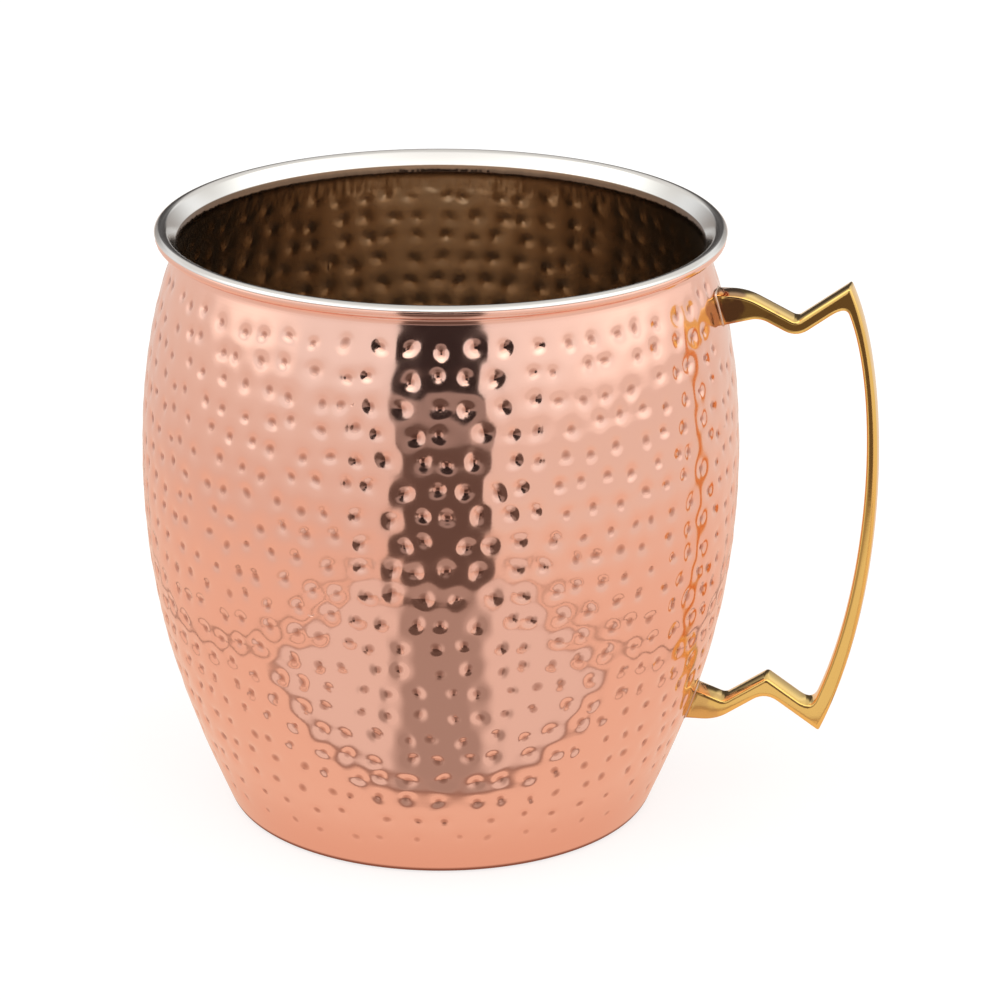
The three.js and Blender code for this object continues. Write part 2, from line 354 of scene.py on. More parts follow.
def pushed(t, geometry, normal, depth, push):
    """Moves a geometry along its normals by a depth."""
    scaled = t.node("ShaderNodeVectorMath", {"Scale": t.math("MULTIPLY", depth, push)}, operation="SCALE")
    t.put(scaled.inputs[0], normal)
    return t.node("GeometryNodeSetPosition", {"Geometry": geometry, "Offset": scaled.outputs[0]}).outputs[0]


def hammer_tree():
    """Pushes a skin in under each strike: a round dish that dies away smoothly at its edge."""
    tree = bpy.data.node_groups.new("Hammer marks", "GeometryNodeTree")
    for label, kind in (("Skin", "Geometry"), ("Strikes", "Object"), ("Push", "Float"),
                        ("Spread", "Float"), ("Waviness", "Float"), ("Wave scale", "Float"),
                        ("Stray", "Float"), ("Finish", "Material")):
        tree.interface.new_socket(label, in_out="INPUT", socket_type="NodeSocket" + kind)
    tree.interface.new_socket("Skin", in_out="OUTPUT", socket_type="NodeSocketGeometry")
    t = Tree(tree)
    given = t.node("NodeGroupInput").outputs
    info = t.node("GeometryNodeObjectInfo", {"Object": given["Strikes"]}, transform_space="RELATIVE")
    place = t.node("GeometryNodeInputPosition").outputs[0]
    strike_set = named(t, "set", "INT")
    normal = t.node("GeometryNodeInputNormal").outputs[0]
    struck = named(t, "struck")
    drift = t.node("ShaderNodeTexNoise", {"Vector": place, "Scale": STRAY_SCALE, "Detail": 0.0})
    uneven = drift.outputs["Color"]
    stray = t.node("ShaderNodeVectorMath", {"Scale": given["Stray"]}, operation="SCALE")
    t.put(stray.inputs[0], t.vector("SUBTRACT", uneven, (0.5, 0.5, 0.5)))
    bent = t.vector("ADD", place, stray.outputs[0])
    skin = given["Skin"]
    hollows = None
    total = None
    for k in range(MARK_SETS):
        same = t.node("FunctionNodeCompare", data_type="INT", operation="EQUAL")
        whole = [s for s in same.inputs if s.type == "INT"]
        t.put(whole[0], strike_set)
        t.put(whole[1], k)
        part = t.node("GeometryNodeSeparateGeometry",
                      {"Geometry": info.outputs["Geometry"], "Selection": same.outputs[0]}, domain="POINT")
        chosen = part.outputs["Selection"]
        nearest = t.node("GeometryNodeSampleNearest", {"Geometry": chosen, "Sample Position": place},
                         domain="POINT").outputs[0]
        found = {}
        for label, kind, source in (("place", "FLOAT_VECTOR", place),
                                    ("size", "FLOAT", named(t, "size")),
                                    ("depth", "FLOAT", named(t, "depth"))):
            sample = t.node("GeometryNodeSampleIndex", {"Geometry": chosen, "Index": nearest},
                            data_type=kind, domain="POINT")
            t.put(sample.inputs["Value"], source)
            found[label] = sample.outputs["Value"]
        away = t.node("ShaderNodeVectorMath", operation="SCALE")
        t.put(away.inputs[0], t.vector("SUBTRACT", bent, found["place"]))
        t.put(away.inputs["Scale"], t.math("DIVIDE", 1.0, t.math("MULTIPLY", found["size"], given["Spread"])))
        reach = t.vector("LENGTH", away.outputs[0], output="Value")
        left = t.math("SUBTRACT", 1.0, t.math("MULTIPLY", reach, reach), clamp=True)
        depth = t.math("MULTIPLY", found["depth"], struck)
        within = t.math("LESS_THAN", reach, FAR_REACH)
        core = t.math("MULTIPLY", t.math("MULTIPLY", depth, 1.0 - HOLLOW_SHARE), within)
        dish = t.math("MULTIPLY", t.math("POWER", left, 3.0), core)
        total = dish if total is None else t.math("ADD", total, dish)
        wide = t.math("DIVIDE", reach, HOLLOW_REACH)
        rest = t.math("SUBTRACT", 1.0, t.math("MULTIPLY", wide, wide), clamp=True)
        hollow = t.math("MULTIPLY", t.math("MULTIPLY", rest, rest), t.math("MULTIPLY", depth, HOLLOW_SHARE))
        hollows = hollow if hollows is None else t.math("ADD", hollows, hollow)
        skin = keep(t, skin, f"from_strike_{k}", "FLOAT_VECTOR", away.outputs[0])
        skin = keep(t, skin, f"strike_depth_{k}", "FLOAT", core)
    noise = t.node("ShaderNodeTexNoise", {"Vector": place, "Scale": given["Wave scale"], "Detail": 1.0})
    wave = t.math("MULTIPLY", noise.outputs[0], given["Waviness"])
    skin = keep(t, skin, "dent", "FLOAT", total)
    skin = pushed(t, skin, normal, t.math("ADD", hollows, t.math("MULTIPLY", wave, struck)), given["Push"])
    skin = keep(t, skin, "plain_normal", "FLOAT_VECTOR", normal)
    skin = pushed(t, skin, normal, named(t, "dent"), given["Push"])
    real = t.node("GeometryNodeRealizeInstances", {"Geometry": skin})
    coat = t.node("GeometryNodeSetMaterial", {"Geometry": real.outputs[0], "Material": given["Finish"]})
    t.put(t.node("NodeGroupOutput").inputs[0], coat.outputs[0])
    return tree


def hammered(skin, tree, strikes, push, spread, waviness, finish):
    """Runs the hammer tree on a skin and leaves the result as a plain mesh."""
    modifier = skin.modifiers.new("Hammer marks", "NODES")
    modifier.node_group = tree
    values = {"Strikes": strikes, "Push": push, "Spread": spread, "Waviness": waviness,
              "Wave scale": WAVE_SCALE, "Stray": STRAY, "Finish": finish}
    for item in tree.interface.items_tree:
        if item.item_type == "SOCKET" and item.in_out == "INPUT" and item.name in values:
            modifier[item.identifier] = values[item.name]
    skin.update_tag()
    graph = bpy.context.evaluated_depsgraph_get()
    plain = bpy.data.meshes.new_from_object(skin.evaluated_get(graph), depsgraph=graph)
    skin.modifiers.remove(modifier)
    rough = skin.data
    skin.data = plain
    plain.name = skin.name
    bpy.data.meshes.remove(rough)


# ---- copper barrel and steel lining ----
def ring_list(line, columns, struck=False):
    """A wall line as rings, each with its count of columns and how freely it takes the hammer."""
    return [(r, z, columns, struck_weight(z) if struck else 0.0) for r, z in line]


def copper_rings():
    """The copper from the middle of the underside, up the wall, round the roll and back down inside."""
    outer = np.vstack([base_edge()[:-1], wall_line(WALL_STEP), roll_line(CURL_END, 20.0)])
    coarse = np.vstack([base_edge()[:-1], wall_line(WALL_STEP * 4), roll_line(CURL_END, 11.0)])
    inner = shifted(coarse, SHELL_T)[::-1]
    split = int(np.argmax(inner[:, 0] < LIP_RING[0] + 0.4))
    bead, hidden = inner[:split], inner[split:]
    tip = (outer[-1] + inner[0]) / 2
    into = outer[-1] - outer[-2]
    tip = tip + into / np.linalg.norm(into) * 0.3
    flat_r = WALL_FOOT_R - BASE_EDGE
    rings = [(20.0, 0.0, HIDDEN_COLUMNS, 0.0), (44.0, 0.0, HIDDEN_COLUMNS, 0.0),
             (flat_r - 2.5, 0.0, SHELL_COLUMNS, 0.0)]
    rings += ring_list(outer, SHELL_COLUMNS, struck=True)
    rings += [(tip[0], tip[1], SHELL_COLUMNS, 0.0)]
    rings += ring_list(bead, SHELL_COLUMNS)
    rings += ring_list(hidden, HIDDEN_COLUMNS)
    rings += [(40.0, hidden[-1][1], HIDDEN_COLUMNS, 0.0)]
    return rings


def lining_rings():
    """The lining from its hidden outer face, over the folded edge and down to the middle of its floor."""
    line = np.vstack([base_edge()[:-1], wall_line(LINER_STEP), roll_line(LINER_END + 2.0, 9.0)])
    inner = shifted(line, SHELL_T + SKIN_FIT + LINER_T)
    coarse = np.vstack([base_edge()[:-1:2], wall_line(LINER_STEP * 4), roll_line(LINER_END + 2.0, 18.0)])
    outer = shifted(coarse, SHELL_T + SKIN_FIT)
    end = math.radians(LINER_END)
    spoke = np.array([math.cos(end), math.sin(end)])
    down = np.array([spoke[1], -spoke[0]])
    fold = [LIP_RING + spoke * (LIP_TUBE_R - depth) + down * drop
            for depth, drop in ((0.03, -0.02), (0.1, 0.05), (0.22, 0.08), (0.35, 0.05), (0.42, -0.02))]
    floor_z = inner[0][1]
    rings = [(18.0, floor_z, HIDDEN_COLUMNS, 0.0), (40.0, floor_z, HIDDEN_COLUMNS, 0.0),
             (52.0, floor_z, LINER_COLUMNS, 0.0)]
    rings += ring_list(inner, LINER_COLUMNS, struck=True)
    rings += ring_list(fold, LINER_COLUMNS)
    rings += ring_list(outer[::-1], HIDDEN_COLUMNS)
    rings += [(40.0, outer[0][1], HIDDEN_COLUMNS, 0.0)]
    return rings[::-1]


# ---- handle ----
def crossing(a, b, c, d):
    """Where the line through a and b meets the line through c and d."""
    u, v = b - a, d - c
    t = ((c - a)[0] * v[1] - (c - a)[1] * v[0]) / (u[0] * v[1] - u[1] * v[0])
    return a + u * t


def far_edge(a, b, thickness=ARM_T):
    """The other edge of a straight bar whose near edge runs from a to b."""
    side = np.array([b[1] - a[1], a[0] - b[0]])
    side = side / np.linalg.norm(side) * thickness
    return a + side, b + side


def handle_corners():
    """The strap's outline as corners with a rounding each, walked the same way as in the frame."""
    def on(x, z):
        return np.array([x, z], float)

    def on_line(a, b, x):
        return on(x, a[1] + (b[1] - a[1]) * (x - a[0]) / (b[0] - a[0]))

    upper_low, lower_low = FOOT_LOWS
    upper_top, lower_top = upper_low + FOOT_H, lower_low + FOOT_H
    upper_bend = on(barrel_radius(upper_top) + 8.1, upper_top)
    lower_bend = on(barrel_radius(lower_low) + 8.8, lower_low)
    dip = on(BELLY_R + 15.0, HEIGHT - 21.9)
    top_tip = on(BELLY_R + 29.5, HEIGHT - 11.2)
    bottom_tip = on(BELLY_R + 25.1, 25.8)
    peak = on(BELLY_R + 9.8, 36.3)
    bow = [top_tip, top_tip + on(12.4, -25.0), bottom_tip + on(18.2, 41.5), bottom_tip]
    upper_near = far_edge(upper_bend, dip)
    upper_far = far_edge(dip, top_tip)
    lower_far = far_edge(bottom_tip, peak)
    lower_near = far_edge(peak, lower_bend)
    grip_top = far_edge(bow[0], bow[1], GRIP_T_TOP)
    grip_bottom = far_edge(bow[2], bow[3], GRIP_T_BOTTOM)
    inner_top = crossing(*upper_far, *grip_top)
    inner_bottom = crossing(*lower_far, *grip_bottom)
    dip_under = crossing(*upper_near, *upper_far)
    peak_over = crossing(*lower_far, *lower_near)
    arch = on_line(*upper_near, upper_bend[0] + 4.0)
    saddle = on_line(*lower_near, lower_bend[0] + 1.9)
    inside = bezier([inner_bottom, grip_bottom[0], grip_top[1], inner_top], BOW_STEPS)[1:-1][::-1]
    outside = bezier(bow, BOW_STEPS)[1:-1][::-1]
    corners = [(on(barrel_radius(upper_top) - FOOT_BURY, upper_top), 0),
               (on(barrel_radius(upper_low) - FOOT_BURY, upper_low), 0),
               (arch, 2.4), (dip_under, 4.0), (inner_top, 4.5)]
    corners += [(p, 0) for p in inside]
    corners += [(inner_bottom, 4.0), (peak_over, 1.2), (saddle, 1.2),
                (on(barrel_radius(lower_top) - FOOT_BURY, lower_top), 0),
                (on(barrel_radius(lower_low) - FOOT_BURY, lower_low), 0),
                (lower_bend, 4.0), (peak, 4.0), (bottom_tip, 1.1)]
    corners += [(p, 0) for p in outside]
    corners += [(top_tip, 1.1), (dip, 1.2), (upper_bend, 4.0)]
    return corners


def strap_outline(corners, inset, steps=7):
    """The outline drawn in by an inset, each rounding following it."""
    points = np.array([c[0] for c in corners])
    n = len(points)
    step = np.roll(points, -1, axis=0) - points
    step /= np.linalg.norm(step, axis=1)[:, None]
    side = np.stack([-step[:, 1], step[:, 0]], axis=1)
    before = np.roll(side, 1, axis=0)
    mitre = before + side
    mitre /= np.linalg.norm(mitre, axis=1)[:, None]
    moved = points + mitre * (inset / np.sum(mitre * before, axis=1))[:, None]
    line = []
    for i in range(n):
        rounding = corners[i][1]
        if not rounding:
            line.append(moved[i])
            continue
        into, out = step[i - 1], step[i]
        turn = math.atan2(into[0] * out[1] - into[1] * out[0], float(np.dot(into, out)))
        grown = rounding - inset * math.tan(turn / 2)
        length = max(grown, 0.3 * rounding)
        ends = []
        for other in (i - 1, (i + 1) % n):
            along = moved[other] - moved[i]
            far = np.linalg.norm(along)
            share = far * rounding / (rounding + corners[other][1] or 1)
            ends.append(moved[i] + along / far * min(length, share))
        line += list(bezier([ends[0], moved[i], ends[1]], steps))
    return np.array(line)


def strap_handle():
    """The cast strap: crowned faces, softened edges, one closed body."""
    corners = handle_corners()
    half = STRAP_W / 2
    section = [(1.45, half), (1.1, half - 0.02), (0.85, half - 0.07)]
    for degrees in (75, 50, 25, 0):
        a = math.radians(degrees)
        section.append((STRAP_CROWN + STRAP_EDGE * (1 - math.cos(a)),
                        half - 0.1 - STRAP_EDGE * (1 - math.sin(a))))
    flat = half - 0.1 - STRAP_EDGE
    for part in (0.66, 0.33, 0.0):
        section.append((STRAP_CROWN * part ** 2, flat * part))
    section += [(inset, -y) for inset, y in section[-2::-1]]
    loops = [strap_outline(corners, inset + CHORD_PLAY) for inset, _ in section]
    count = len(loops[0])
    verts, faces = [], []
    for loop, (_, y) in zip(loops, section):
        verts += [(x, y, z) for x, z in loop]
    for k in range(len(loops) - 1):
        a, b = k * count, (k + 1) * count
        for i in range(count):
            j = (i + 1) % count
            faces.append((a + i, a + j, b + j, b + i))
    faces.append(tuple(range(count))[::-1])
    last = (len(loops) - 1) * count
    faces.append(tuple(range(last, last + count)))
    return mesh_object("brass_handle", verts, faces)


def outward(obj):
    """Turns every face of a closed mesh outward and splits its large flat ends into triangles."""
    work = bmesh.new()
    work.from_mesh(obj.data)
    bmesh.ops.remove_doubles(work, verts=work.verts, dist=1e-7)
    big = [f for f in work.faces if len(f.verts) > 4]
    bmesh.ops.triangulate(work, faces=big)
    bmesh.ops.recalc_face_normals(work, faces=work.faces)
    work.to_mesh(obj.data)
    work.free()
    obj.data.polygons.foreach_set("use_smooth", [True] * len(obj.data.polygons))


def solder_bead(name, foot_low):
    """The fillet of solder round a foot: it climbs the brass and feathers out on the copper."""
    half_w, half_h, corner = STRAP_W / 2 - 0.15, FOOT_H / 2 - 0.15, 0.8
    outline = []
    for quarter, (sy, sz) in enumerate(((1, 1), (-1, 1), (-1, -1), (1, -1))):
        for i in range(9):
            a = math.radians(90 * quarter + 90 * i / 8)
            outline.append((sy * (half_w - corner) + corner * math.cos(a),
                            sz * (half_h - corner) + corner * math.sin(a), math.cos(a), math.sin(a)))
    middle = foot_low + FOOT_H / 2
    chance = random.Random(int(foot_low))
    swell = [chance.uniform(0, 2 * math.pi) for _ in range(3)]
    profile = ((-0.8, 0.2), (-0.1, 0.36), (0.03, 0.32), (0.1, 0.2), (0.18, 0.1), (0.28, 0.04), (0.38, 0.0),
               (0.42, -0.08), (0.2, -0.2))
    verts, faces = [], []
    for out, rise in profile:
        for k, (y, z, ny, nz) in enumerate(outline):
            turn = 2 * math.pi * k / len(outline)
            uneven = 1 + 0.12 * sum(math.sin((n + 2) * turn + swell[n]) for n in range(3))
            yy = y + ny * out * (uneven if out > 0 else 1)
            zz = middle + z + nz * out * (uneven if out > 0 else 1)
            r = barrel_radius(zz)
            grow = (r + rise) / r
            verts.append((math.sqrt(r * r - yy * yy) * grow, yy * grow, zz))
    n = len(outline)
    for k in range(len(profile) - 1):
        for i in range(n):
            j = (i + 1) % n
            faces.append((k * n + i, k * n + j, (k + 1) * n + j, (k + 1) * n + i))
    faces.append(tuple(range(n))[::-1])
    faces.append(tuple(range((len(profile) - 1) * n, len(profile) * n)))
    bead = mesh_object(name, verts, faces)
    outward(bead)
    return bead


# ---- finishes ----
def shade_group(name, inputs, outputs):
    """An empty shader group with named sockets: its tree, what it is given and what it hands out."""
    tree = bpy.data.node_groups.new(name, "ShaderNodeTree")
    for label, kind, value in inputs:
        made = tree.interface.new_socket(label, in_out="INPUT", socket_type="NodeSocket" + kind)
        made.default_value = value
    for label, kind in outputs:
        tree.interface.new_socket(label, in_out="OUTPUT", socket_type="NodeSocket" + kind)
    t = Tree(tree)
    return t, t.node("NodeGroupInput").outputs, t.node("NodeGroupOutput").inputs


def polish_group():
    """Buffing: a cloudy haze in the gloss and hair-fine scratches round the piece."""
    t, given, out = shade_group(
        "Buffed metal",
        [("Gloss", "Float", 0.08), ("Haze", "Float", 0.05), ("Cloud scale", "Float", 30.0),
         ("Scratch scale", "Float", 900.0), ("Scratch height", "Float", 0.1)],
        [("Roughness", "Float"), ("Height", "Float")])
    place = t.node("ShaderNodeTexCoord").outputs["Object"]
    cloud = t.node("ShaderNodeTexNoise", {"Vector": place, "Scale": given["Cloud scale"], "Detail": 4.0})
    stretched = t.node("ShaderNodeMapping", {"Vector": place, "Scale": (0.12, 0.12, 1.0)})
    scratch = t.node("ShaderNodeTexNoise", {"Vector": stretched.outputs[0], "Scale": given["Scratch scale"],
                                            "Detail": 2.0, "Roughness": 0.7})
    haze = t.math("MULTIPLY", cloud.outputs[0], given["Haze"])
    t.put(out["Roughness"], t.math("ADD", given["Gloss"], haze))
    t.put(out["Height"], t.math("MULTIPLY", scratch.outputs[0], given["Scratch height"]))
    return t.tree


def tone_group():
    """Two tones of the same metal, mixed in soft uneven patches."""
    t, given, out = shade_group(
        "Metal tone",
        [("Tone", "Color", (0.8, 0.8, 0.8, 1)), ("Other tone", "Color", (0.7, 0.7, 0.7, 1)),
         ("Patch scale", "Float", 25.0), ("Contrast", "Float", 1.0)],
        [("Color", "Color")])
    place = t.node("ShaderNodeTexCoord").outputs["Object"]
    cloud = t.node("ShaderNodeTexNoise", {"Vector": place, "Scale": given["Patch scale"], "Detail": 5.0,
                                          "Roughness": 0.6})
    off_middle = t.math("SUBTRACT", cloud.outputs[0], 0.5)
    spread = t.math("MULTIPLY_ADD", off_middle, given["Contrast"], 0.5, clamp=True)
    mix = t.node("ShaderNodeMix", {"Factor": spread}, data_type="RGBA")
    t.put(mix.inputs[6], given["Tone"])
    t.put(mix.inputs[7], given["Other tone"])
    t.put(out["Color"], mix.outputs[2])
    return t.tree


def relief_group():
    """The dishes of the hammer marks, finer than the mesh that carries them."""
    t, given, out = shade_group("Hammer relief", [("Push", "Float", 1.0)],
                                [("Height", "Float"), ("Plain normal", "Vector"), ("Pit", "Float")])
    total = pits = None
    full_depth = MARK_DEPTH * (1.0 - HOLLOW_SHARE) * MM
    for k in range(MARK_SETS):
        away = t.node("ShaderNodeAttribute", attribute_name=f"from_strike_{k}").outputs["Vector"]
        depth = t.node("ShaderNodeAttribute", attribute_name=f"strike_depth_{k}").outputs["Fac"]
        square = t.vector("DOT_PRODUCT", away, away, output="Value")
        left = t.math("SUBTRACT", 1.0, square, clamp=True)
        tip = t.math("SUBTRACT", 1.0, t.math("MULTIPLY", square, 1.0 / PIT_REACH ** 2), clamp=True)
        pit = t.math("MULTIPLY", t.math("MULTIPLY", tip, tip), PIT_SHARE)
        dish = t.math("MULTIPLY", t.math("ADD", t.math("POWER", left, 3.0), pit), depth)
        total = dish if total is None else t.math("ADD", total, dish)
        # a soft spot round each pit where the copper is painted darker: painted shade with some grime
        shade_and_grime_spot = t.math("SUBTRACT", 1.0, t.math("MULTIPLY", square, 1.0 / PIT_SHADE_AND_GRIME_REACH ** 2), clamp=True)
        deep = t.math("MULTIPLY", shade_and_grime_spot, t.math("MULTIPLY", depth, 1.5 / full_depth, clamp=True))
        pits = deep if pits is None else t.math("ADD", pits, deep)
    t.put(out["Pit"], pits)
    t.put(out["Height"], t.math("MULTIPLY", total, given["Push"]))
    t.put(out["Plain normal"], t.node("ShaderNodeAttribute", attribute_name="plain_normal").outputs["Vector"])
    return t.tree


def blank_material(name):
    """An empty material and its tree."""
    made = bpy.data.materials.new(name)
    made.use_nodes = True
    made.node_tree.nodes.clear()
    return made, Tree(made.node_tree)


def struck_face(t, shader, relief, push):
    """Lays the hammer relief under the fine scratches; returns its bump node and its pit mask."""
    dishes = t.node("ShaderNodeGroup", node_tree=relief)
    dishes.inputs["Push"].default_value = push
    sunk = t.node("ShaderNodeBump", {"Height": dishes.outputs["Height"], "Strength": 1.0, "Distance": 1.0,
                                     "Normal": dishes.outputs["Plain normal"]})
    scratches = shader.inputs["Normal"].links[0].from_node
    t.put(scratches.inputs["Normal"], sunk.outputs[0])
    return sunk, dishes.outputs["Pit"]


def added_relief(t, bump, fine):
    """Adds a fine height to what a bump node already carries."""
    height = bump.inputs["Height"].links[0].from_socket
    t.put(bump.inputs["Height"], t.math("ADD", height, fine))


def metal(name, tone, other, polish, tones, gloss, haze, patch, scratch_scale, scratch):
    """A metal finish with the two shared groups; returns the material, its tree, shader and tone."""
    made, t = blank_material(name)
    shader = t.node("ShaderNodeBsdfPrincipled", {"Metallic": 1.0})
    t.node("ShaderNodeOutputMaterial", {"Surface": shader.outputs[0]})
    buff = t.node("ShaderNodeGroup", node_tree=polish)
    for label, value in (("Gloss", gloss), ("Haze", haze), ("Scratch scale", scratch_scale)):
        buff.inputs[label].default_value = value
    tint = metal_tone(t, tones, tone, other, patch)
    bump = t.node("ShaderNodeBump", {"Height": buff.outputs["Height"], "Strength": scratch,
                                     "Distance": 0.0002})
    t.put(shader.inputs["Roughness"], buff.outputs["Roughness"])
    t.put(shader.inputs["Base Color"], tint)
    t.put(shader.inputs["Normal"], bump.outputs[0])
    return made, t, shader, tint


def metal_tone(t, tones, tone, other, patch):
    """The shared tone group with two tones and the size of their patches."""
    tint = t.node("ShaderNodeGroup", node_tree=tones)
    tint.inputs["Tone"].default_value = (*tone, 1)
    tint.inputs["Other tone"].default_value = (*other, 1)
    tint.inputs["Patch scale"].default_value = patch
    return tint.outputs["Color"]


def ramped(t, value, low, high, at_low=0.0, at_high=1.0, soft=False):
    """A value carried from one range to another and held at both ends."""
    made = t.node("ShaderNodeMapRange", {"Value": value, "From Min": low, "From Max": high,
                                         "To Min": at_low, "To Max": at_high},
                  interpolation_type="SMOOTHSTEP" if soft else "LINEAR")
    return made.outputs[0]


def band(t, value, low, high, soft):
    """1 between low and high, falling to 0 over a soft edge."""
    rise = ramped(t, value, low - soft, low + soft, soft=True)
    fall = ramped(t, value, high - soft, high + soft, 1.0, 0.0, soft=True)
    return t.math("MULTIPLY", rise, fall)


def blend_color(t, factor, a, b):
    """Color a turning into color b as the factor goes from 0 to 1."""
    mix = t.node("ShaderNodeMix", data_type="RGBA")
    t.put(mix.inputs[0], factor)
    for socket, value in ((mix.inputs[6], a), (mix.inputs[7], b)):
        t.put(socket, (*value, 1) if isinstance(value, tuple) else value)
    return mix.outputs[2]


def own_place(t):
    """The point being shaded, in the piece's own metres, and its height above the table."""
    place = t.node("ShaderNodeTexCoord").outputs["Object"]
    return place, t.node("ShaderNodeSeparateXYZ", {"Vector": place}).outputs[2]


# ---- the copper's finish ----
COPPER_TONE = (0.94, 0.58, 0.475)
COPPER_OTHER = (0.92, 0.548, 0.438)
# painted shade in the pit of each mark, standing in for its dark reflections, with some polishing grime
PIT_SHADE_AND_GRIME_TONE = (0.36, 0.135, 0.085)
PIT_SHADE_AND_GRIME_STRENGTH = 0.66
SPUN_RING_SCALE = 650.0
SPUN_RINGS_FROM = NECK_Z - 9.0
SPUN_RINGS_FULL = NECK_Z - 4.0


def copper_finish(polish, tones, relief):
    """Buffed copper with painted shade and some grime in the pit of each mark, and fine spun rings round the
    neck.
    """
    made, t, shader, tint = metal("Hammered copper", COPPER_TONE, COPPER_OTHER, polish, tones,
                                  gloss=0.095, haze=0.05, patch=18.0, scratch_scale=700.0, scratch=0.12)
    sunk, pit = struck_face(t, shader, relief, SHELL_PUSH)
    # darkens the copper round each pit with painted shade and some grime
    pit_shade_and_grime = t.math("MULTIPLY", pit, PIT_SHADE_AND_GRIME_STRENGTH, clamp=True)
    t.put(shader.inputs["Base Color"], blend_color(t, pit_shade_and_grime, tint, PIT_SHADE_AND_GRIME_TONE))
    _, z = own_place(t)
    rings = t.node("ShaderNodeTexNoise", {"W": z, "Scale": SPUN_RING_SCALE, "Detail": 2.0},
                   noise_dimensions="1D").outputs[0]
    at_neck = ramped(t, z, SPUN_RINGS_FROM * MM, SPUN_RINGS_FULL * MM, 0.000001, 0.000014)
    added_relief(t, sunk, t.math("MULTIPLY", rings, at_neck))
    return made


# ---- the lining's finish ----
STEEL_TONE = (0.80, 0.78, 0.755)
STEEL_OTHER = (0.74, 0.72, 0.70)
BRONZE_TONE = (0.62, 0.50, 0.385)
BRONZE_OTHER = (0.53, 0.42, 0.315)
# painted shade in the crease inside the neck, under the rolled lip
CREASE_SHADE_TONE = (0.115, 0.062, 0.036)
PLEAT_SCALE = 420.0
PLEAT_HEIGHT = 0.0004


def lining_finish(polish, tones, relief):
    """Bright steel on the lip that turns to a darker bronze tone inside, with painted shade darkest in the
    neck's crease.
    """
    made, t, shader, tint = metal("Steel lining", STEEL_TONE, STEEL_OTHER, polish, tones,
                                  gloss=0.10, haze=0.08, patch=30.0, scratch_scale=900.0, scratch=0.2)
    place, z = own_place(t)
    inside = ramped(t, z, (NECK_Z + 1.35) * MM, (NECK_Z + 1.6) * MM, 1.0, 0.0)
    bronze = metal_tone(t, tones, BRONZE_TONE, BRONZE_OTHER, 40.0)
    # painted shade, darkening the lining up into the crease under the neck
    crease_shade = ramped(t, z, (NECK_Z - 2.6) * MM, (NECK_Z - 0.4) * MM, 0.0, 0.93)
    bronze_and_crease_shade = blend_color(t, crease_shade, bronze, CREASE_SHADE_TONE)
    t.put(shader.inputs["Base Color"], blend_color(t, inside, tint, bronze_and_crease_shade))
    buffed = shader.inputs["Roughness"].links[0].from_socket
    t.put(shader.inputs["Roughness"], t.math("MULTIPLY_ADD", inside, 0.06, buffed))
    proud, _ = struck_face(t, shader, relief, LINING_PUSH)
    upright = t.node("ShaderNodeMapping", {"Vector": place, "Scale": (1.0, 1.0, 0.08)}).outputs[0]
    pleats = t.node("ShaderNodeTexNoise", {"Vector": upright, "Scale": PLEAT_SCALE, "Detail": 1.0}).outputs[0]
    drawn_in = band(t, z, (NECK_Z - 6.5) * MM, (NECK_Z + 0.5) * MM, 0.0015)
    added_relief(t, proud, t.math("MULTIPLY", t.math("MULTIPLY", pleats, drawn_in), PLEAT_HEIGHT))
    return made


# ---- the brass and the solder ----
BRASS_TONE = (0.94, 0.65, 0.215)
BRASS_OTHER = (0.90, 0.585, 0.17)
# painted shade on the brass beside each foot, where the strap meets the wall, strongest at the upper foot
FOOT_SHADE_BRASS = (0.46, 0.235, 0.125)
FOOT_SHADE_STRENGTHS = (0.8, 0.35)
FOOT_SHADE_NEAR, FOOT_SHADE_FAR = 0.0275, 0.033
FOOT_SHADE_RAGGED = 0.042
# silver solder tones with a painted pink reflection of the neighbouring copper
SOLDER_COPPER_REFLECTION_TONE = (0.78, 0.60, 0.48)
SOLDER_COPPER_REFLECTION_OTHER = (0.58, 0.42, 0.33)


def brass_finish(polish, tones):
    """Cast brass, darkened with painted shade beside each foot, where the strap meets the wall."""
    made, t, shader, color = metal("Cast brass", BRASS_TONE, BRASS_OTHER, polish, tones,
                                   gloss=0.07, haze=0.06, patch=60.0, scratch_scale=1200.0, scratch=0.25)
    place, _ = own_place(t)
    ragged = t.node("ShaderNodeTexNoise", {"Vector": place, "Scale": 170.0, "Detail": 2.0}).outputs[0]
    for low, strength in zip(FOOT_LOWS, FOOT_SHADE_STRENGTHS):
        middle = low + FOOT_H / 2
        spot = (barrel_radius(middle) * MM, 0.0, middle * MM)
        far = t.math("ADD", t.vector("DISTANCE", place, spot, output="Value"),
                     t.math("MULTIPLY", ragged, FOOT_SHADE_RAGGED))
        # painted shade, fading with distance from each foot
        foot_shade = ramped(t, far, FOOT_SHADE_NEAR, FOOT_SHADE_FAR, strength, 0.0, soft=True)
        color = blend_color(t, foot_shade, color, FOOT_SHADE_BRASS)
    t.put(shader.inputs["Base Color"], color)
    return made


def solder_finish(polish, tones):
    """Dull silver solder, with a painted pink reflection of the copper beside it in its colour."""
    return metal("Silver solder", SOLDER_COPPER_REFLECTION_TONE, SOLDER_COPPER_REFLECTION_OTHER, polish, tones,
                 gloss=0.22, haze=0.25, patch=220.0, scratch_scale=1600.0, scratch=0.6)[0]


# ---- camera ----
VIEW_AZIMUTH = 10.0  # degrees round the mug from straight in front
VIEW_AWAY = 1.0636  # metres from the mug's axis
VIEW_HEIGHT = 0.4762
VIEW_PITCH = 20.11  # degrees down
VIEW_YAW = 0.834  # degrees to the side, about the camera's own upright
LENS = 145.64
SENSOR = 36.0


